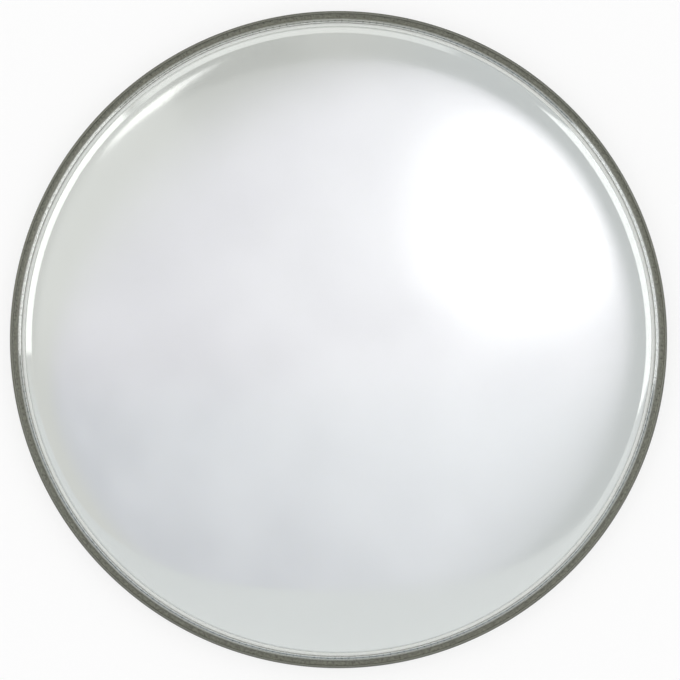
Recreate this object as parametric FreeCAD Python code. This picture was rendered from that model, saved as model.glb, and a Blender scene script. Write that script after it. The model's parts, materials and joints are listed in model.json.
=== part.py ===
import FreeCAD, Part
import math
import os

# A clear two-ply drum head for a nominal 14 inch drum, lying on its hoop with the playing face up.
# Lengths are in millimetres. The origin is the centre of the hoop's underside.
# +Z leaves the playing face. Sections are drawn in the XZ plane and turned about Z.

# Flesh hoop: a metal channel rolled into a ring, open at the top
bore_radius = 180.3
inner_wall = 0.8
channel_width = 3.8
outer_wall = 1.6
hoop_floor = 1.4
hoop_height = 9.5
inner_wall_drop = 0.7
lip_round = 0.45
inner_lip_round = 0.25
foot_round = 0.9
bore_foot_round = 0.6
channel_round = 0.5

# Film: two plies with air between them, flat across the middle and bent down at the collar
ply_thickness = 0.18
ply_gap = 0.12
collar_rise = 7.0
collar_bend_radius = 6.0
collar_angle_degrees = 52.0
mouth_gap = 0.44
edge_clearance = 0.5

# Locking holes punched beside the film's edge, which the resin fills
lock_hole_radius = 0.8
lock_hole_pitch = 3.95
lock_row_depth = 2.3
pattern_sectors = 24

# Casting resin: its rim stands a little under the hoop's inner wall, and its surface dips between
resin_drop = 0.2
meniscus_depth = 0.3

# How far a cutter or a plug runs past the film on each side
overrun = 0.3

# Places that follow from the sizes
channel_inner_radius = bore_radius + inner_wall
channel_outer_radius = channel_inner_radius + channel_width
hoop_outer_radius = channel_outer_radius + outer_wall
inner_wall_top = hoop_height - inner_wall_drop
resin_rim = inner_wall_top - resin_drop
playing_height = hoop_height + collar_rise
film_depth = 2 * ply_thickness + ply_gap
backing_depth = ply_thickness + ply_gap

turn_axis = FreeCAD.Vector(0, 0, 1)
origin = FreeCAD.Vector(0, 0, 0)
full_turn = 360.0
upright_share = 1e-6


def point(radius, height):
    """A place in the section plane."""
    return FreeCAD.Vector(radius, 0, height)


# Directions on the film's sloping wall: square to it and outwards, and along it towards the film's edge
collar_angle = math.radians(collar_angle_degrees)
outward = point(math.sin(collar_angle), math.cos(collar_angle))
downhill = point(math.cos(collar_angle), -math.sin(collar_angle))

# The film's underside passes the inner wall's top at the channel's mouth, and that places the collar's bend
mouth = point(channel_inner_radius + mouth_gap, inner_wall_top)
bend_height = playing_height - collar_bend_radius
underside_bend_radius = collar_bend_radius - film_depth
bend_rise = (mouth.z - bend_height) * outward.z
flat_radius = mouth.x - (underside_bend_radius - bend_rise) / outward.x
bend_centre = point(flat_radius, bend_height)

# The film's wall stops short of the channel's floor or of its outer wall, whichever it nears first
wall_start = bend_centre + outward * collar_bend_radius
underside_start = bend_centre + outward * underside_bend_radius
length_to_outer_wall = (channel_outer_radius - edge_clearance - wall_start.x) / downhill.x
length_to_floor = (hoop_floor + edge_clearance - underside_start.z) / downhill.z
wall_length = min(length_to_outer_wall, length_to_floor)

# The row of holes lies a set way down the film from the mouth, in equal steps round the ring
lock_row = mouth + downhill * lock_row_depth
sector_arc_length = 2 * math.pi * lock_row.x / pattern_sectors
holes_per_sector = max(1, round(sector_arc_length / lock_hole_pitch))
sector_angle = full_turn / pattern_sectors
hole_angle = sector_angle / holes_per_sector


def rounded_face(corners):
    """A face with the given (radius, height, rounding) corners in order."""
    turns = []
    for place, (radius, height, rounding) in enumerate(corners):
        corner = point(radius, height)
        back = (point(*corners[place - 1][:2]) - corner).normalize()
        ahead = (point(*corners[(place + 1) % len(corners)][:2]) - corner).normalize()
        half_angle = back.getAngle(ahead) / 2
        inward = (back + ahead).normalize()
        reach = rounding / math.tan(half_angle)
        middle = corner + inward * (rounding / math.sin(half_angle) - rounding)
        turns.append((corner + back * reach, middle, corner + ahead * reach, rounding))
    edges = []
    for place, (start, middle, end, rounding) in enumerate(turns):
        if rounding:
            edges.append(Part.Arc(start, middle, end).toShape())
        edges.append(Part.makeLine(end, turns[(place + 1) % len(turns)][0]))
    return Part.Face(Part.Wire(edges))


def film_face(upper_depth, lower_depth):
    """The section of a film layer between two depths below the playing surface, from the axis to the edge."""

    def layer(depth):
        """The points along one side of the layer: centre, bend start, bend middle, bend end and edge."""
        radius = collar_bend_radius - depth
        half = collar_angle / 2
        bend_end = bend_centre + outward * radius
        return (
            point(0, playing_height - depth),
            point(flat_radius, playing_height - depth),
            bend_centre + point(math.sin(half), math.cos(half)) * radius,
            bend_end,
            bend_end + downhill * wall_length,
        )

    centre, bend_start, bend_middle, bend_end, edge = layer(upper_depth)
    low_centre, low_start, low_middle, low_end, low_edge = layer(lower_depth)
    return Part.Face(
        Part.Wire(
            [
                Part.makeLine(centre, bend_start),
                Part.Arc(bend_start, bend_middle, bend_end).toShape(),
                Part.makeLine(bend_end, edge),
                Part.makeLine(edge, low_edge),
                Part.makeLine(low_edge, low_end),
                Part.Arc(low_end, low_middle, low_start).toShape(),
                Part.makeLine(low_start, low_centre),
                Part.makeLine(low_centre, centre),
            ]
        )
    )


def sector_of(face):
    """One sector of the ring that a section makes, centred on the XZ plane."""
    turned = face.copy()
    turned.rotate(origin, turn_axis, -sector_angle / 2)
    return turned.revolve(origin, turn_axis, sector_angle)


def lock_pins():
    """The round plugs of one sector, square to the film's wall and through both plies."""
    foot = lock_row - outward * overrun
    pins = []
    for place in range(holes_per_sector):
        pin = Part.makeCylinder(lock_hole_radius, film_depth + 2 * overrun, foot, outward)
        pin.rotate(origin, turn_axis, (place + 0.5) * hole_angle - sector_angle / 2)
        pins.append(pin)
    return pins


def is_sector_side(face):
    """True for the flat upright faces where one sector meets the next."""
    return isinstance(face.Surface, Part.Plane) and abs(face.Surface.Axis.z) < upright_share


def ring_from(sector):
    """The whole ring: the sector's outer faces, repeated round the axis and sewn into one solid."""
    skin = [face for face in sector.Faces if not is_sector_side(face)]
    faces = []
    for place in range(pattern_sectors):
        for face in skin:
            copy = face.copy()
            copy.rotate(origin, turn_axis, place * sector_angle)
            faces.append(copy)
    shell = Part.makeCompound(faces)
    shell.sewShape()
    return Part.makeSolid(shell.Shells[0]).removeSplitter()


def flesh_hoop():
    """The channel: a taller outer wall with a rounded lip, a floor, and a lower inner wall."""
    section = rounded_face(
        [
            (bore_radius, 0, bore_foot_round),
            (hoop_outer_radius, 0, foot_round),
            (hoop_outer_radius, hoop_height, lip_round),
            (channel_outer_radius, hoop_height, lip_round),
            (channel_outer_radius, hoop_floor, channel_round),
            (channel_inner_radius, hoop_floor, channel_round),
            (channel_inner_radius, inner_wall_top, inner_lip_round),
            (bore_radius, inner_wall_top, inner_lip_round),
        ]
    )
    return section.revolve(origin, turn_axis, full_turn)


def ply(upper_depth):
    """One sheet of film, with the locking holes through its sloping wall."""
    sheet = sector_of(film_face(upper_depth, upper_depth + ply_thickness))
    return ring_from(sheet.cut(lock_pins()))


def casting_resin():
    """The filling of the channel round the film, joined through the film's holes by a plug in each."""
    filling = rounded_face(
        [
            (channel_inner_radius, hoop_floor, channel_round),
            (channel_outer_radius, hoop_floor, channel_round),
            (channel_outer_radius, resin_rim, 0),
            (channel_inner_radius, resin_rim, 0),
        ]
    )
    film_reach = (wall_start.z - resin_rim) / -downhill.z
    film_side = wall_start + downhill * film_reach
    wall_side = point(channel_outer_radius, resin_rim)
    lowest = (film_side + wall_side) * 0.5 - point(0, meniscus_depth)
    dip = Part.Face(
        Part.Wire([Part.Arc(film_side, lowest, wall_side).toShape(), Part.makeLine(wall_side, film_side)])
    )
    section = filling.cut([film_face(0, film_depth), dip]).Faces[0]
    return ring_from(sector_of(section).fuse(lock_pins()))


def main():
    """Build every piece and write it to its own file."""
    pieces = {
        "flesh_hoop": flesh_hoop(),
        "casting_resin": casting_resin(),
        "batter_ply": ply(0),
        "backing_ply": ply(backing_depth),
    }
    os.makedirs("parts", exist_ok=True)
    for name, shape in pieces.items():
        shape.exportStep(f"parts/{name}.step")
        box = shape.optimalBoundingBox()
        print(f"{name}: {len(shape.Solids)} solid, valid {shape.isValid()}, {shape.Volume:.0f} mm3", end=", ")
        print(f"{box.XLength:.1f} x {box.YLength:.1f} x {box.ZLength:.1f} mm from z {box.ZMin:.2f}")
    print(f"flat playing face to radius {flat_radius:.2f}, height {playing_height:.2f}", end=", ")
    print(f"{holes_per_sector * pattern_sectors} locking holes, film wall {wall_length:.2f} long")


main()
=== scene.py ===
import json
import math

import bpy
from mathutils import Matrix, Vector


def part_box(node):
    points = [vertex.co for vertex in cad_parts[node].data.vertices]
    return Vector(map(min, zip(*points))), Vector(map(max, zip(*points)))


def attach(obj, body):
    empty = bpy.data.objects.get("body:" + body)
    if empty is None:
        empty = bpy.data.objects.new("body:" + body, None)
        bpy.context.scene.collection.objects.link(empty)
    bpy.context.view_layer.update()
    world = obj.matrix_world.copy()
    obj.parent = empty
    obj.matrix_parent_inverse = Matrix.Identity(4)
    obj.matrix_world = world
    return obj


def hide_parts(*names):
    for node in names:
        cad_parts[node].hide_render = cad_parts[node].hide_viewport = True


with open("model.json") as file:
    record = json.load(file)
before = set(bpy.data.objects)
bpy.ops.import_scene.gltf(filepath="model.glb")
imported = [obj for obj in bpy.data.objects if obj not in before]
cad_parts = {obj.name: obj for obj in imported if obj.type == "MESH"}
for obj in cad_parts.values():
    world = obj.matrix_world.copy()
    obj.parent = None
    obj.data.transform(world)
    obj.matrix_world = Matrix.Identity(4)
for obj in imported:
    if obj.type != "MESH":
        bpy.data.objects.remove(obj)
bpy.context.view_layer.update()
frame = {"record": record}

# A clear two-ply drum head lies on its hoop on a pale floor, and the camera looks straight down on it.
# Lengths are in metres. +Z leaves the playing face, and +Y is up in the picture.
MM = 0.001

# Sizes read from the frame
hoop_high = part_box("flesh_hoop")[1]
resin_low, resin_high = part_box("casting_resin")
film_low, film_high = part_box("batter_ply")
bore = next(mount for mount in frame["record"]["mounts"] if mount["name"] == "shell_bore")
HOOP_RADIUS = hoop_high.x
HOOP_HEIGHT = hoop_high.z
BORE_RADIUS = bore["dims"]["r_mm"] * MM
CHANNEL_RADIUS = resin_high.x
CHANNEL_FLOOR = resin_low.z
RESIN_RIM = resin_high.z
PLAYING_HEIGHT = film_high.z
FILM_FOOT = film_low.z

# Sizes of the hoop's section, as in the model
INNER_WALL = 0.8 * MM
INNER_WALL_DROP = 0.7 * MM
INNER_WALL_TOP = HOOP_HEIGHT - INNER_WALL_DROP
LIP_ROUND = 0.45 * MM
INNER_LIP_ROUND = 0.25 * MM
FOOT_ROUND = 0.9 * MM
BORE_FOOT_ROUND = 0.6 * MM
CHANNEL_ROUND = 0.5 * MM

# Sizes of the film, as in the model
PLY_THICKNESS = 0.18 * MM
PLY_GAP = 0.12 * MM
FILM_DEPTH = 2 * PLY_THICKNESS + PLY_GAP
COLLAR_ANGLE = math.radians(52.0)
MOUTH_GAP = 0.44 * MM

# The collar's bend is softer at its top than at its knee, where it passes into the sloping wall
SHOULDER_RADIUS = 9.5 * MM
KNEE_RADIUS = 1.5 * MM
KNEE_ANGLE = math.radians(26.0)

# The stretched film starts to roll off well before the collar's bend, by an angle that grows towards it
ROLL_ANGLE = math.radians(1.4)
ROLL_LENGTH = 9.0 * MM

# A groove runs round the film's wall above the resin: a dip, and a shorter ramp out of it
# Its start, its deepest place and its end are ways down the wall from the bend
GROOVE_DEPTH = 0.78 * MM
GROOVE_START = 3.4 * MM
GROOVE_PLACE = 5.64 * MM
GROOVE_END = 7.08 * MM

# The resin's surface: dished outside the film's wall, and a low bead inside it
MENISCUS_DEPTH = 0.3 * MM
BEAD_HEIGHT = 0.16 * MM
# Out to this radius the resin is painted pale, a painted highlight along the film's foot
PAINTED_HIGHLIGHT_EDGE = 182.3 * MM
RESIN_CLEARANCE = 0.02 * MM

# Dabs of resin over the hoop's inner wall, one at each of the film's locking holes
DAB_COUNT = 288
DAB_RADIUS = 0.55 * MM
DAB_HEIGHT = 0.35 * MM
DAB_PLACE = 180.88 * MM
DAB_SIDES = 10
DAB_RINGS = 4

# Mesh fineness
TURN_STEPS = 384
ROUND_STEPS = 6
BEND_STEPS = 16
WALL_STEP = 0.16 * MM
FLAT_STEP = 4.0 * MM
ROLL_STEP = 1.0 * MM
ROLL_START = 0.86
SHARP_ANGLE = math.radians(50)

# Spreads of a cloud of values: where its low look ends and its high look begins
SOFT_SPREAD = (0.2, 0.8)
SHARP_SPREAD = (0.3, 0.7)
BLOTCH_SPREAD = (0.35, 0.75)

# Finish of the hoop: fine lines round the ring, broad blotches, a painted shade along the lip's outer
# rounding, and a bore of bare metal that is painted very bright as painted light against the shade at its
# foot
# The scales are for an angle in radians, a radius and a height
LINE_SCALE = (6.0, 4000.0, 4000.0)
BLOTCH_SCALE = (40.0, 500.0, 1.0)
LINE_RELIEF = 0.03 * MM
HOOP_DARK = (0.100, 0.102, 0.076, 1)
HOOP_LIGHT = (0.175, 0.178, 0.142, 1)
HOOP_BLOTCH = (0.150, 0.152, 0.118, 1)
# Painted shade: a darker colour along the lip's outer rounding, where it turns away from the light
HOOP_RIM_SHADE = (0.080, 0.081, 0.066, 1)
# Bare metal in the bore, partly wear from the shell and partly painted light that lifts the shade at the
# bore's foot
HOOP_BARE_AND_LIT = (0.86, 0.87, 0.85, 1)
HOOP_ROUGHNESS = (0.18, 0.32)
# Where the painted shade on the lip's outer rounding begins and is full
RIM_SHADE_EDGE = (HOOP_RADIUS - 0.6 * MM, HOOP_RADIUS - 0.2 * MM)
BARE_AND_LIT_EDGE = (BORE_RADIUS + 0.1 * MM, BORE_RADIUS + 0.7 * MM)

# The butt joint where the hoop's two ends meet, as angles from +X
JOINT_ANGLE = math.radians(77.8)
JOINT_WIDTH = 0.0012
JOINT_SOFTNESS = 0.0006
HOOP_JOINT = (0.020, 0.020, 0.016, 1)

# Finish of the resin: mottled, and painted pale inside the film, a painted highlight for the light line
# along the film's foot
MOTTLE_SCALE = (130.0, 700.0, 700.0)
MOTTLE_RELIEF = 0.1 * MM
RESIN_DARK = (0.070, 0.071, 0.050, 1)
RESIN_LIGHT = (0.160, 0.162, 0.125, 1)
# Painted highlight: these pale colours inside the film stand for the light line along the film's foot
PAINTED_HIGHLIGHT_DARK = (0.74, 0.74, 0.70, 1)
PAINTED_HIGHLIGHT_LIGHT = (0.90, 0.90, 0.86, 1)
PAINTED_HIGHLIGHT_SOFTNESS = 0.1 * MM
RESIN_ROUGHNESS = (0.24, 0.38)

# Finish of the film: clear, with a faint haze
FILM_TINT = (0.914, 0.925, 0.910, 1)
HAZE_SHARE = 0.985
HAZE_SCALE = 9.0
FILM_ROUGHNESS = (0.02, 0.05)
FILM_INDEX = 1.64
FILM_PASSES = (0.93, 0.932, 0.928, 1)

# Camera: straight above the hoop, at the photograph's size in a square picture
CAMERA_HEIGHT = 1.5
PICTURE_WIDTH = 385.8 * MM
SENSOR_WIDTH = 36.0
CAMERA_OFFSET = (0.842 * MM, -0.227 * MM)

# Light: an even room and one broad, distant lamp overhead
ROOM_LEVEL = 0.30
LAMP_LEVEL = 0.70
LAMP_WIDTH = math.radians(16.0)
FLOOR_SIZE = 12.0
FLOOR_COLOUR = (0.981, 0.981, 0.981, 1)

# The studio that the film mirrors. A direction's place in it is given by tangents, for how far it leans
# right, up the picture or in all, or by its angle from the right in radians or that angle's cosine or sine
# An edge is a pair of places that a level passes between, and a span is a start, an end and a softness
LEAST_RISE = 0.02
HORIZON = (2.0, 5.0)

# Where the part of the room begins that the foot of the film's wall mirrors
FOOT_ZONE = (1.15, 1.35)

# Walls: their levels at the left and right, unlit and lit, and the dark at the upper left
WALL_TURN = (-0.8, 0.1)
WALL_LEVELS = (0.64, 0.28)
LIT_SIDE = (-0.42, 0.05)
LIT_TURN = (-0.75, -0.2)
LIT_LEVELS = (0.86, 1.04)
LIT_FOOT_SHARE = 0.4
LOWER_ROOM = (0.3, 0.8)
DARK_SPAN = (1.70, 2.16, 0.10)
DARK_FADE = (0.25, 0.45)
BLUE_TURN = (0.0, 0.5)
WALL_TINT = (-0.06, 0.0, 0.12)

# Sheet overhead: its straight foot, its arched top, a softer arch near it, its lower right and its reach
SHEET_FOOT = (-0.0974, -0.0951)
CROWN_PEAK = 0.01
CROWN_CURVE = 2.5
CROWN_EDGE = (0.1150, 0.1182)
ARCH_PEAK = 0.045
ARCH_CURVE = 4.4
ARCH_EDGE = (0.088, 0.142)
CORNER_RIGHT = 0.8
CORNER_DOWN = 0.6
CORNER_EDGE = (0.070, 0.145)
SHEET_REACH = (0.112, 0.15)

# Light of the sheet: a glow round a lamp behind it, a fall away from there, a dimmer foot and clouds
GLOW_PLACE = (0.072, 0.0474)
GLOW_EDGE = (0.030, 0.059)
GLOW_LEVEL = 1.2
SHEET_LEVEL = 3.0
SHEET_FALL = 11.0
SHEET_LEAST = 0.7
DIM_EDGE = (-0.085, -0.055)
DIM_LEVEL = -0.14
CLOUD_SCALE = 30.0
CLOUD_SPREAD = (0.25, 0.75)
CLOUD_LEVELS = (-0.2, 0.2)
SHEET_TINT = (0.0, -0.08, 0.24)
LOW_EDGE = (-0.04, 0.0)
LOW_TINT = (-0.12, -0.02, -0.04)

# Soft boxes at the left, right and top
# The right one's edges slant, and each is given as two places and where the edge is at each of them
BOX_EDGE = (0.22, 0.29)
BOX_END = (2.2, 3.6)
SIDE_BOX_LEVEL = 2.4
LEFT_BOX_TOP = (2.30, 2.36)
LEFT_BOX_FOOT = (-0.06, -0.03)
LEFT_BOX_END = (1.35, 1.75)
RIGHT_BOX_FOOT = (0.2, 1.6, -0.25, -0.135)
RIGHT_BOX_TOP = (0.0, 1.4, 0.868, 0.740)
RIGHT_BOX_EDGE = (0.0, 0.6, 0.36, 0.26)
END_SOFTNESS = 0.03
EDGE_SOFTNESS = 0.05
TOP_BOX_SPAN = (1.19, 2.27, 0.05)
TOP_BOX_FOOT_SHARE = 0.1

# Pale sheet at the left
LEFT_SHEET_START = (0.075, 0.100)
LEFT_SHEET_END = (0.14, 0.16)
LEFT_SHEET_SIDE = (-0.64, -0.50)
LEFT_SHEET_FOOT = (-0.25, 0.15)
LEFT_SHEET_LEVEL = 0.42

# Thin strip of light at the upper left
STRIP_MIDDLE = 2.20
STRIP_TAPERS = (-0.065, 0.035)
STRIP_INNER = (0.129, 0.1385)
STRIP_OUTER = (0.149, 0.1545)
STRIP_SPAN = (1.99, 2.45, 0.08)
STRIP_LEVEL = 2.7


class Graph:
    """Short ways to add nodes to one node tree.

    A value may be a number, a tuple or another node's output.
    """

    def __init__(self, tree):
        self.tree = tree
        tree.nodes.clear()

    def node(self, kind, **settings):
        """Add a node and set its properties."""
        made = self.tree.nodes.new("ShaderNode" + kind)
        for name, value in settings.items():
            setattr(made, name, value)
        return made

    def feed(self, socket, value):
        """Link an output to a socket, or set the socket to a plain value."""
        if isinstance(value, bpy.types.NodeSocket):
            self.tree.links.new(value, socket)
        else:
            socket.default_value = value

    def math(self, operation, *values):
        """One maths step."""
        made = self.node("Math", operation=operation)
        for socket, value in zip(made.inputs, values):
            self.feed(socket, value)
        return made.outputs[0]

    def product(self, *values):
        """All the values multiplied."""
        total = values[0]
        for value in values[1:]:
            total = self.math("MULTIPLY", total, value)
        return total

    def length(self, x, y):
        """The length of two values set square to each other."""
        return self.math("SQRT", self.math("ADD", self.product(x, x), self.product(y, y)))

    def less(self, value):
        """What a value leaves of one."""
        return self.math("SUBTRACT", 1.0, value)

    def between(self, first, second, share):
        """A value some share of the way from one value to another."""
        return self.math("MULTIPLY_ADD", self.math("SUBTRACT", second, first), share, first)

    def ease(self, value, start, end, low=0.0, high=1.0):
        """Low before start, high after end, and a smooth rise between."""
        made = self.node("MapRange", interpolation_type="SMOOTHSTEP")
        for name, setting in zip(
            ("Value", "From Min", "From Max", "To Min", "To Max"), (value, start, end, low, high)
        ):
            self.feed(made.inputs[name], setting)
        return made.outputs[0]

    def fade(self, value, start, end, low=0.0):
        """One before start, low after end, and a smooth fall between."""
        return self.ease(value, start, end, 1.0, low)

    def window(self, value, start, end, softness):
        """One between start and end, and zero outside them."""
        rise = self.ease(value, start - softness, start + softness)
        fall = self.fade(value, end - softness, end + softness)
        return self.math("MULTIPLY", rise, fall)

    def noise(self, vector, scale=1.0, detail=2.0, roughness=0.5):
        """A cloud of values about one half."""
        made = self.node("TexNoise")
        self.feed(made.inputs["Vector"], vector)
        self.feed(made.inputs["Scale"], scale)
        self.feed(made.inputs["Detail"], detail)
        self.feed(made.inputs["Roughness"], roughness)
        return made.outputs["Fac"]

    def mix(self, factor, first, second):
        """A colour between two colours."""
        made = self.node("Mix", data_type="RGBA")
        self.feed(made.inputs["Factor"], factor)
        self.feed(made.inputs["A"], first)
        self.feed(made.inputs["B"], second)
        return made.outputs["Result"]

    def vector(self, x, y, z):
        """Three values as one vector."""
        made = self.node("CombineXYZ")
        for socket, value in zip(made.inputs, (x, y, z)):
            self.feed(socket, value)
        return made.outputs[0]

    def scaled(self, values, scales):
        """Three values as one vector, each times its own scale."""
        return self.vector(*(self.product(value, scale) for value, scale in zip(values, scales)))

    def parts(self, vector):
        """The three values of a vector."""
        made = self.node("SeparateXYZ")
        self.feed(made.inputs[0], vector)
        return made.outputs

    def bump(self, height, distance, strength=1.0):
        """Small surface relief."""
        made = self.node("Bump")
        self.feed(made.inputs["Height"], height)
        self.feed(made.inputs["Distance"], distance)
        self.feed(made.inputs["Strength"], strength)
        return made.outputs["Normal"]

    def ring_places(self):
        """Where a point lies on the ring: its angle in radians, its radius and its height."""
        x, y, z = self.parts(self.node("TexCoord").outputs["Object"])
        return self.math("ARCTAN2", y, x), self.length(x, y), z


class Room(Graph):
    """The studio's node graph, with the places of the direction that is looked along."""

    def __init__(self, tree):
        super().__init__(tree)
        x, y, z = self.parts(self.node("TexCoord").outputs["Generated"])
        rise = self.math("MAXIMUM", z, LEAST_RISE)
        self.right = self.math("DIVIDE", x, rise)
        self.above = self.math("DIVIDE", y, rise)
        self.lean = self.length(self.right, self.above)
        self.azimuth = self.math("ARCTAN2", self.above, self.right)
        self.eastward = self.math("COSINE", self.azimuth)
        self.northward = self.math("SINE", self.azimuth)
        self.past_foot = self.fade(self.above, *SHEET_FOOT)
        self.past_crown = self.ease(self.arch(CROWN_PEAK, CROWN_CURVE), *CROWN_EDGE)

    def arch(self, peak, curve):
        """The height, at its peak, of the arch that a direction lies on."""
        from_peak = self.math("SUBTRACT", self.right, peak)
        return self.math("ADD", self.above, self.product(from_peak, from_peak, curve))

    def lit(self):
        """One where the walls are lit: past the sheet's foot, with a softer change lower in the room."""
        lower_side = self.fade(self.northward, *LIT_SIDE)
        return self.between(self.past_foot, lower_side, self.ease(self.lean, *LOWER_ROOM))

    def walls(self, lit):
        """Walls that are dark at the top and right, lighter at the left, and light where they are lit."""
        level = self.ease(self.eastward, *WALL_TURN, *WALL_LEVELS)
        light = self.ease(self.eastward, *LIT_TURN, *LIT_LEVELS)
        light = self.product(light, self.fade(self.lean, *FOOT_ZONE, LIT_FOOT_SHARE))
        dark = self.product(
            self.window(self.azimuth, *DARK_SPAN), self.fade(self.lean, *DARK_FADE), self.past_crown
        )
        return self.product(self.between(level, light, lit), self.less(dark))

    def on_sheet(self):
        """One on the sheet overhead, and zero past its edges."""
        under_arch = self.fade(self.arch(ARCH_PEAK, ARCH_CURVE), *ARCH_EDGE)
        rightward = self.product(self.right, CORNER_RIGHT)
        to_corner = self.math("SUBTRACT", rightward, self.product(self.above, CORNER_DOWN))
        return self.product(
            under_arch,
            self.less(self.past_crown),
            self.less(self.past_foot),
            self.fade(to_corner, *CORNER_EDGE),
            self.fade(self.lean, *SHEET_REACH),
        )

    def sheet(self):
        """The level of the sheet overhead."""
        across = self.math("SUBTRACT", self.right, GLOW_PLACE[0])
        along = self.math("SUBTRACT", self.above, GLOW_PLACE[1])
        far = self.length(across, along)
        place = self.vector(self.right, self.above, 0.0)
        clouds = self.noise(place, CLOUD_SCALE, detail=3.0, roughness=0.55)
        level = self.math("SUBTRACT", SHEET_LEVEL, self.product(far, SHEET_FALL))
        level = self.math("ADD", level, self.ease(self.above, *DIM_EDGE, DIM_LEVEL, 0.0))
        level = self.math("ADD", level, self.ease(clouds, *CLOUD_SPREAD, *CLOUD_LEVELS))
        glow = self.fade(far, *GLOW_EDGE)
        return self.math("MULTIPLY_ADD", glow, GLOW_LEVEL, self.math("MAXIMUM", level, SHEET_LEAST))

    def boxes(self):
        """Tall soft boxes at the left and right and a weaker one at the top, which the collar mirrors."""
        past_edge = self.ease(self.lean, *BOX_EDGE)
        left = self.product(
            self.ease(self.math("ABSOLUTE", self.azimuth), *LEFT_BOX_TOP),
            self.ease(self.northward, *LEFT_BOX_FOOT),
            self.fade(self.lean, *LEFT_BOX_END),
            past_edge,
        )
        from_foot = self.math("SUBTRACT", self.azimuth, self.ease(self.lean, *RIGHT_BOX_FOOT))
        to_top = self.math("SUBTRACT", self.ease(self.lean, *RIGHT_BOX_TOP), self.azimuth)
        from_edge = self.math("SUBTRACT", self.lean, self.ease(self.azimuth, *RIGHT_BOX_EDGE))
        right = self.product(
            self.ease(from_foot, -END_SOFTNESS, END_SOFTNESS),
            self.ease(to_top, -END_SOFTNESS, END_SOFTNESS),
            self.ease(from_edge, -EDGE_SOFTNESS, EDGE_SOFTNESS),
        )
        top = self.product(
            self.window(self.azimuth, *TOP_BOX_SPAN),
            self.fade(self.lean, *FOOT_ZONE, TOP_BOX_FOOT_SHARE),
            past_edge,
        )
        level = self.math("MULTIPLY_ADD", self.math("ADD", left, right), SIDE_BOX_LEVEL, top)
        return self.product(level, self.fade(self.lean, *BOX_END))

    def left_sheet(self):
        """A pale sheet at the left."""
        return self.product(
            self.ease(self.lean, *LEFT_SHEET_START),
            self.fade(self.lean, *LEFT_SHEET_END),
            self.fade(self.eastward, *LEFT_SHEET_SIDE),
            self.ease(self.northward, *LEFT_SHEET_FOOT),
            LEFT_SHEET_LEVEL,
        )

    def strip(self):
        """A thin strip of light at the upper left, widest at its middle."""
        from_middle = self.math("SUBTRACT", self.azimuth, STRIP_MIDDLE)
        taper = self.math("MAXIMUM", *(self.product(from_middle, slope) for slope in STRIP_TAPERS))
        return self.product(
            self.ease(self.math("SUBTRACT", self.lean, taper), *STRIP_INNER),
            self.fade(self.lean, *STRIP_OUTER),
            self.window(self.azimuth, *STRIP_SPAN),
            STRIP_LEVEL,
        )


def new_material(name):
    """An empty node material and its graph."""
    made = bpy.data.materials.new(name)
    made.use_nodes = True
    return made, Graph(made.node_tree)


def finish_material(graph, shader):
    """Send a shader to the material's output."""
    out = graph.node("OutputMaterial")
    graph.feed(out.inputs["Surface"], shader)


def hoop_material():
    """Dull olive-grey metal with fine lines round the ring, a painted shade on the lip's outer rounding,
    bare metal in the bore painted bright as painted light, and one butt joint.
    """
    made, graph = new_material("hoop_metal")
    places = graph.ring_places()
    angle, radius, _ = places
    lines = graph.noise(graph.scaled(places, LINE_SCALE), detail=3.0)
    blotches = graph.noise(graph.scaled(places, BLOTCH_SCALE), detail=4.0, roughness=0.6)
    colour = graph.mix(lines, HOOP_DARK, HOOP_LIGHT)
    colour = graph.mix(graph.ease(blotches, *BLOTCH_SPREAD), colour, HOOP_BLOTCH)
    # Painted shade along the lip's outer rounding
    colour = graph.mix(graph.ease(radius, *RIM_SHADE_EDGE), colour, HOOP_RIM_SHADE)
    joint = graph.window(angle, JOINT_ANGLE, JOINT_ANGLE + JOINT_WIDTH, JOINT_SOFTNESS)
    colour = graph.mix(joint, colour, HOOP_JOINT)
    # Painted light: the bore is bare metal, painted bright to lift the shade where it meets the floor
    colour = graph.mix(graph.fade(radius, *BARE_AND_LIT_EDGE), colour, HOOP_BARE_AND_LIT)
    shader = graph.node("BsdfPrincipled")
    graph.feed(shader.inputs["Base Color"], colour)
    graph.feed(shader.inputs["Metallic"], 0.4)
    graph.feed(shader.inputs["Roughness"], graph.ease(lines, *SOFT_SPREAD, *HOOP_ROUGHNESS))
    graph.feed(shader.inputs["Normal"], graph.bump(lines, LINE_RELIEF, strength=0.6))
    finish_material(graph, shader.outputs[0])
    return made


def resin_material(name, painted_highlight_radius):
    """Glossy cast resin, mottled dark olive grey, and painted pale within a radius as a painted highlight.
    """
    made, graph = new_material(name)
    places = graph.ring_places()
    radius = places[1]
    mottle = graph.noise(graph.scaled(places, MOTTLE_SCALE), detail=4.0, roughness=0.6)
    dark = graph.mix(graph.ease(mottle, *SHARP_SPREAD), RESIN_DARK, RESIN_LIGHT)
    # Painted highlight: within the radius the resin is painted pale for the light line at the film's foot
    pale = graph.mix(mottle, PAINTED_HIGHLIGHT_DARK, PAINTED_HIGHLIGHT_LIGHT)
    inside = graph.fade(radius, painted_highlight_radius - PAINTED_HIGHLIGHT_SOFTNESS, painted_highlight_radius + PAINTED_HIGHLIGHT_SOFTNESS)
    shader = graph.node("BsdfPrincipled")
    graph.feed(shader.inputs["Base Color"], graph.mix(inside, dark, pale))
    graph.feed(shader.inputs["Roughness"], graph.ease(mottle, *SOFT_SPREAD, *RESIN_ROUGHNESS))
    graph.feed(shader.inputs["Normal"], graph.bump(mottle, MOTTLE_RELIEF, strength=0.4))
    finish_material(graph, shader.outputs[0])
    return made


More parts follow.
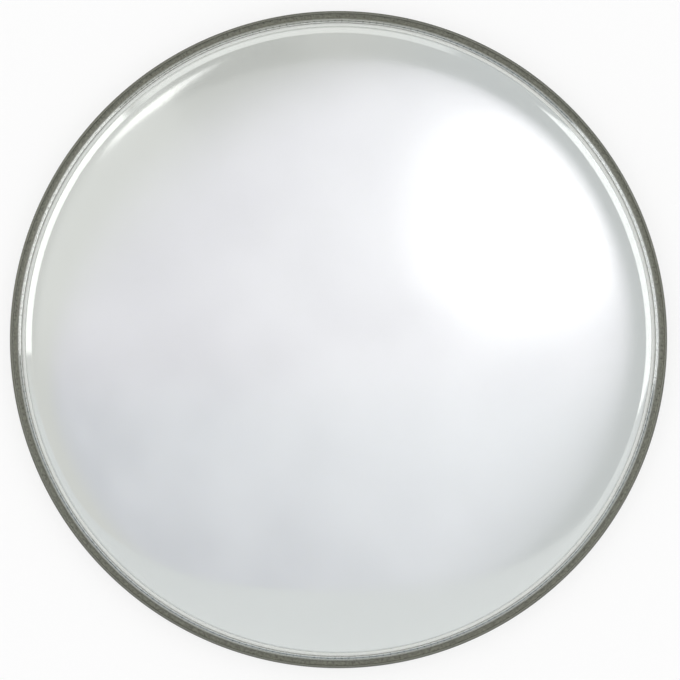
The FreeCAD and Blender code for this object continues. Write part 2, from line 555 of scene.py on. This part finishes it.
def film_material(name):
    """Clear polyester. Light from the lamps passes straight through it, and the eye sees it as glass."""
    made, graph = new_material(name)
    haze = graph.noise(graph.node("TexCoord").outputs["Object"], HAZE_SCALE, detail=3.0, roughness=0.55)
    hazy_tint = tuple(HAZE_SHARE * part for part in FILM_TINT[:3]) + (1,)
    glass = graph.node("BsdfPrincipled")
    graph.feed(glass.inputs["Base Color"], graph.mix(haze, hazy_tint, FILM_TINT))
    graph.feed(glass.inputs["Roughness"], graph.ease(haze, *SHARP_SPREAD, *FILM_ROUGHNESS))
    graph.feed(glass.inputs["IOR"], FILM_INDEX)
    graph.feed(glass.inputs["Transmission Weight"], 1.0)
    straight = graph.node("BsdfTransparent")
    graph.feed(straight.inputs["Color"], FILM_PASSES)
    path = graph.node("LightPath")
    shader = glass.outputs[0]
    for kind in ("Is Shadow Ray", "Is Diffuse Ray"):
        passing = graph.node("MixShader")
        graph.feed(passing.inputs[0], path.outputs[kind])
        graph.feed(passing.inputs[1], shader)
        graph.feed(passing.inputs[2], straight.outputs[0])
        shader = passing.outputs[0]
    finish_material(graph, shader)
    return made


def floor_material():
    """A pale matt floor."""
    made, graph = new_material("pale_floor")
    shader = graph.node("BsdfPrincipled")
    graph.feed(shader.inputs["Base Color"], FLOOR_COLOUR)
    graph.feed(shader.inputs["Roughness"], 0.9)
    graph.feed(shader.inputs["Specular IOR Level"], 0.1)
    finish_material(graph, shader.outputs[0])
    return made


def corner_points(corners):
    """A closed outline through (radius, height, rounding) corners, with the round ones as arcs."""
    points = []
    for place, (radius, height, rounding) in enumerate(corners):
        corner = Vector((radius, height))
        if not rounding:
            points.append(corner)
            continue
        back = (Vector(corners[place - 1][:2]) - corner).normalized()
        ahead = (Vector(corners[(place + 1) % len(corners)][:2]) - corner).normalized()
        half_angle = back.angle(ahead) / 2
        centre = corner + (back + ahead).normalized() * (rounding / math.sin(half_angle))
        first = corner + back * (rounding / math.tan(half_angle)) - centre
        last = corner + ahead * (rounding / math.tan(half_angle)) - centre
        sweep = first.angle_signed(last)
        for step in range(ROUND_STEPS + 1):
            turned = first.copy()
            turned.rotate(Matrix.Rotation(-sweep * step / ROUND_STEPS, 2))
            points.append(centre + turned)
    return points


def lathe(name, outline, closed):
    """A mesh object that turns a section about Z.

    A closed outline makes a ring, and an open one starts and ends on Z.
    Both run with the material on their left.
    """
    points, faces, rows = [], [], []
    for radius, height in outline:
        if radius == 0:
            rows.append([len(points)] * TURN_STEPS)
            points.append((0, 0, height))
            continue
        rows.append(range(len(points), len(points) + TURN_STEPS))
        for step in range(TURN_STEPS):
            angle = 2 * math.pi * step / TURN_STEPS
            points.append((radius * math.cos(angle), radius * math.sin(angle), height))
    pairs = list(zip(rows, rows[1:]))
    if closed:
        pairs.append((rows[-1], rows[0]))
    for first, second in pairs:
        for step in range(TURN_STEPS):
            ahead = (step + 1) % TURN_STEPS
            corners = [first[step], first[ahead], second[ahead], second[step]]
            faces.append(tuple(dict.fromkeys(corners)))
    return mesh_object(name, points, faces)


def mesh_object(name, points, faces):
    """A smooth-shaded mesh object with sharp edges kept."""
    mesh = bpy.data.meshes.new(name)
    mesh.from_pydata(points, [], faces)
    mesh.validate()
    mesh.shade_smooth()
    mesh.set_sharp_from_angle(angle=SHARP_ANGLE)
    made = bpy.data.objects.new(name, mesh)
    bpy.context.scene.collection.objects.link(made)
    return made


def square_to(slope):
    """The way out of the film, square to it where it falls by an angle, in its section."""
    return Vector((math.sin(slope), math.cos(slope)))


# The film's sloping wall: square to it and outwards, and along it towards the film's edge
OUTWARD = square_to(COLLAR_ANGLE)
DOWNHILL = Vector((math.cos(COLLAR_ANGLE), -math.sin(COLLAR_ANGLE)))

# The film's underside passes the inner wall's top at the channel's mouth, which places the collar's bends
mouth = Vector((BORE_RADIUS + INNER_WALL + MOUTH_GAP, INNER_WALL_TOP))
roll_drop = ROLL_LENGTH * math.tan(ROLL_ANGLE)
shoulder_height = PLAYING_HEIGHT - SHOULDER_RADIUS - roll_drop
to_knee = square_to(KNEE_ANGLE) * (SHOULDER_RADIUS - KNEE_RADIUS)
knee_height = shoulder_height + to_knee.y
under_knee = KNEE_RADIUS - FILM_DEPTH
knee_place = mouth.x - (under_knee - (mouth.y - knee_height) * OUTWARD.y) / OUTWARD.x
knee_centre = Vector((knee_place, knee_height))
shoulder_centre = knee_centre - to_knee
wall_start = knee_centre + OUTWARD * KNEE_RADIUS
wall_length = (wall_start.y - (FILM_FOOT + PLY_THICKNESS * OUTWARD.y)) / -DOWNHILL.y


def film_line(depth):
    """The film's section at a depth below its playing face, from the axis to its edge."""
    bend_begin = shoulder_centre.x + SHOULDER_RADIUS * math.sin(ROLL_ANGLE)
    radii = [0.0]
    while radii[-1] < ROLL_START * bend_begin:
        radii.append(radii[-1] + FLAT_STEP)
    while radii[-1] < bend_begin - ROLL_STEP:
        radii.append(radii[-1] + ROLL_STEP)
    line = []
    for radius in radii:
        drop = roll_drop * math.exp((radius - bend_begin) / ROLL_LENGTH)
        line.append((radius, PLAYING_HEIGHT - drop - depth))
    shoulder = (shoulder_centre, SHOULDER_RADIUS, ROLL_ANGLE, KNEE_ANGLE)
    knee = (knee_centre, KNEE_RADIUS, KNEE_ANGLE, COLLAR_ANGLE)
    for centre, bend_radius, first, last in (shoulder, knee):
        for step in range(BEND_STEPS):
            angle = first + (last - first) * step / BEND_STEPS
            line.append(tuple(centre + square_to(angle) * (bend_radius - depth)))
    ways = [0.0, WALL_STEP, GROOVE_START - WALL_STEP]
    while ways[-1] < GROOVE_END:
        ways.append(ways[-1] + WALL_STEP)
    for way in ways + [wall_length]:
        line.append(tuple(wall_point(way, depth + groove(way))))
    return line


def groove(way):
    """How deep the groove is, some way down the film's wall."""
    edge = GROOVE_START if way < GROOVE_PLACE else GROOVE_END
    return GROOVE_DEPTH * max(0.0, (way - edge) / (GROOVE_PLACE - edge))


def wall_point(way, depth):
    """A place on the film's wall, some way down from its top and at a depth below the film's face."""
    return wall_start + DOWNHILL * way - OUTWARD * depth


def film(name, depth):
    """One ply, as a thin closed sheet."""
    outline = film_line(depth + PLY_THICKNESS) + film_line(depth)[::-1]
    made = lathe(name, outline, closed=False)
    made.data.materials.append(film_material(name + "_polyester"))
    return made


def hoop():
    """The channel-shaped ring with its rounded lip."""
    corners = [
        (BORE_RADIUS, 0, BORE_FOOT_ROUND),
        (HOOP_RADIUS, 0, FOOT_ROUND),
        (HOOP_RADIUS, HOOP_HEIGHT, LIP_ROUND),
        (CHANNEL_RADIUS, HOOP_HEIGHT, LIP_ROUND),
        (CHANNEL_RADIUS, CHANNEL_FLOOR, CHANNEL_ROUND),
        (BORE_RADIUS + INNER_WALL, CHANNEL_FLOOR, CHANNEL_ROUND),
        (BORE_RADIUS + INNER_WALL, INNER_WALL_TOP, INNER_LIP_ROUND),
        (BORE_RADIUS, INNER_WALL_TOP, INNER_LIP_ROUND),
    ]
    made = lathe("hoop_ring", corner_points(corners), closed=True)
    made.data.materials.append(hoop_material())
    return made


def arched(first, last, height):
    """The points between two places on a low arch, which dips where the height is negative."""
    points = []
    for step in range(1, 2 * ROUND_STEPS):
        share = step / (2 * ROUND_STEPS)
        points.append(first.lerp(last, share) + Vector((0, 4 * height * share * (1 - share))))
    return points


def resin():
    """The cast filling on both sides of the film's wall."""
    inner = BORE_RADIUS + INNER_WALL
    film_side = wall_point((wall_start.y - RESIN_RIM) / -DOWNHILL.y, -RESIN_CLEARANCE)
    under_reach = (wall_start.y - FILM_DEPTH * OUTWARD.y - RESIN_RIM) / -DOWNHILL.y
    under_side = wall_point(under_reach, FILM_DEPTH + RESIN_CLEARANCE)
    channel = corner_points(
        [
            (inner, CHANNEL_FLOOR, CHANNEL_ROUND),
            (CHANNEL_RADIUS, CHANNEL_FLOOR, CHANNEL_ROUND),
            (CHANNEL_RADIUS, RESIN_RIM, 0),
            (inner, RESIN_RIM, 0),
        ]
    )
    inner_side = channel.pop()
    slit = [
        film_side,
        wall_point(wall_length + RESIN_CLEARANCE, -RESIN_CLEARANCE),
        wall_point(wall_length + RESIN_CLEARANCE, FILM_DEPTH + RESIN_CLEARANCE),
        under_side,
    ]
    dish = arched(channel[-1], film_side, -MENISCUS_DEPTH)
    bead = arched(under_side, inner_side, BEAD_HEIGHT)
    made = lathe("resin_bed", channel + dish + slit + bead + [inner_side], closed=True)
    made.data.materials.append(resin_material("bedded_resin", PAINTED_HIGHLIGHT_EDGE))
    return made


def dabs():
    """A low dome of resin at each locking hole, standing on the resin's rim and over the inner wall."""
    points, faces = [], []
    for place in range(DAB_COUNT):
        turn = Matrix.Rotation(2 * math.pi * (place + 0.5) / DAB_COUNT, 3, "Z")
        top = len(points)
        points.append(turn @ Vector((DAB_PLACE, 0, RESIN_RIM + DAB_HEIGHT)))
        for ring in range(1, DAB_RINGS + 1):
            fall = 0.5 * math.pi * ring / DAB_RINGS
            reach = DAB_RADIUS * math.sin(fall)
            height = RESIN_RIM + DAB_HEIGHT * math.cos(fall)
            for side in range(DAB_SIDES):
                way = 2 * math.pi * side / DAB_SIDES
                radius = DAB_PLACE + reach * math.cos(way)
                points.append(turn @ Vector((radius, reach * math.sin(way), height)))
        for side in range(DAB_SIDES):
            ahead = (side + 1) % DAB_SIDES
            faces.append((top, top + 1 + side, top + 1 + ahead))
            for ring in range(DAB_RINGS - 1):
                upper = top + 1 + ring * DAB_SIDES
                lower = upper + DAB_SIDES
                faces.append((upper + side, lower + side, lower + ahead, upper + ahead))
        faces.append(tuple(reversed(range(len(points) - DAB_SIDES, len(points)))))
    made = mesh_object("resin_dabs", points, faces)
    made.data.materials.append(resin_material("dab_resin", painted_highlight_radius=0.0))
    return made


def lamp():
    """The broad lamp overhead, as far away as the sun, so that it lights the whole floor evenly."""
    light = bpy.data.lights.new("overhead", "SUN")
    light.angle = LAMP_WIDTH
    light.energy = LAMP_LEVEL * math.pi
    made = bpy.data.objects.new("overhead", light)
    made.visible_glossy = False
    made.visible_transmission = False
    bpy.context.scene.collection.objects.link(made)


def camera():
    """The photograph's view, from straight above."""
    data = bpy.data.cameras.new("camera")
    data.sensor_width = SENSOR_WIDTH
    data.lens = SENSOR_WIDTH * CAMERA_HEIGHT / PICTURE_WIDTH
    made = bpy.data.objects.new("camera", data)
    made.location = (*CAMERA_OFFSET, HOOP_HEIGHT + CAMERA_HEIGHT)
    bpy.context.scene.collection.objects.link(made)
    bpy.context.scene.camera = made


def floor():
    """The pale floor under the hoop."""
    half = FLOOR_SIZE / 2
    made = mesh_object(
        "floor", [(-half, -half, 0), (half, -half, 0), (half, half, 0), (-half, half, 0)], [(0, 1, 2, 3)]
    )
    made.data.materials.append(floor_material())


def studio():
    """The room: white to the eye, even for matt surfaces, and for mirrors a studio's sheets and boxes."""
    world = bpy.data.worlds.new("studio")
    bpy.context.scene.world = world
    world.use_nodes = True
    world.cycles.sampling_method = "NONE"
    room = Room(world.node_tree)
    lit = room.lit()
    on_sheet = room.on_sheet()
    mirrored = room.between(room.walls(lit), room.sheet(), on_sheet)
    mirrored = room.math("ADD", mirrored, room.math("ADD", room.strip(), room.left_sheet()))

    # Towards the horizon the room is even and pale
    horizon = room.ease(room.lean, *HORIZON)
    mirrored = room.math("ADD", room.between(mirrored, 1.0, horizon), room.boxes())

    # The sheet is a little blue, more so below, and the walls are too at the right and where they are lit
    low = room.fade(room.above, *LOW_EDGE)
    blue_walls = room.math("MAXIMUM", room.ease(room.eastward, *BLUE_TURN), lit)
    off_sheet = room.product(room.less(on_sheet), blue_walls, room.less(horizon))

    path = room.node("LightPath")
    by_mirrors = room.math("MAXIMUM", path.outputs["Is Glossy Ray"], path.outputs["Is Transmission Ray"])
    plain = room.ease(path.outputs["Is Camera Ray"], 0.0, 1.0, ROOM_LEVEL, 1.0)
    colour = room.node("CombineColor")
    for socket, sheet_tint, low_tint, wall_tint in zip(colour.inputs, SHEET_TINT, LOW_TINT, WALL_TINT):
        cast = room.product(on_sheet, room.math("MULTIPLY_ADD", low, low_tint, sheet_tint))
        tinted = room.math("ADD", mirrored, room.math("MULTIPLY_ADD", off_sheet, wall_tint, cast))
        room.feed(socket, room.between(plain, tinted, by_mirrors))
    background = room.node("Background")
    room.feed(background.inputs["Color"], colour.outputs[0])
    out = room.node("OutputWorld")
    room.feed(out.inputs["Surface"], background.outputs[0])


pieces = [
    (hoop(), "flesh_hoop", "hoop_metal"),
    (resin(), "casting_resin", "resin"),
    (dabs(), "casting_resin", "resin"),
    (film("batter_film", 0.0), "batter_ply", "film"),
    (film("backing_film", PLY_THICKNESS + PLY_GAP), "backing_ply", "film"),
]
for piece, node, slot in pieces:
    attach(piece, "root")
    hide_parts(node)

floor()
lamp()
studio()
camera()
bpy.context.scene.view_settings.view_transform = "Standard"
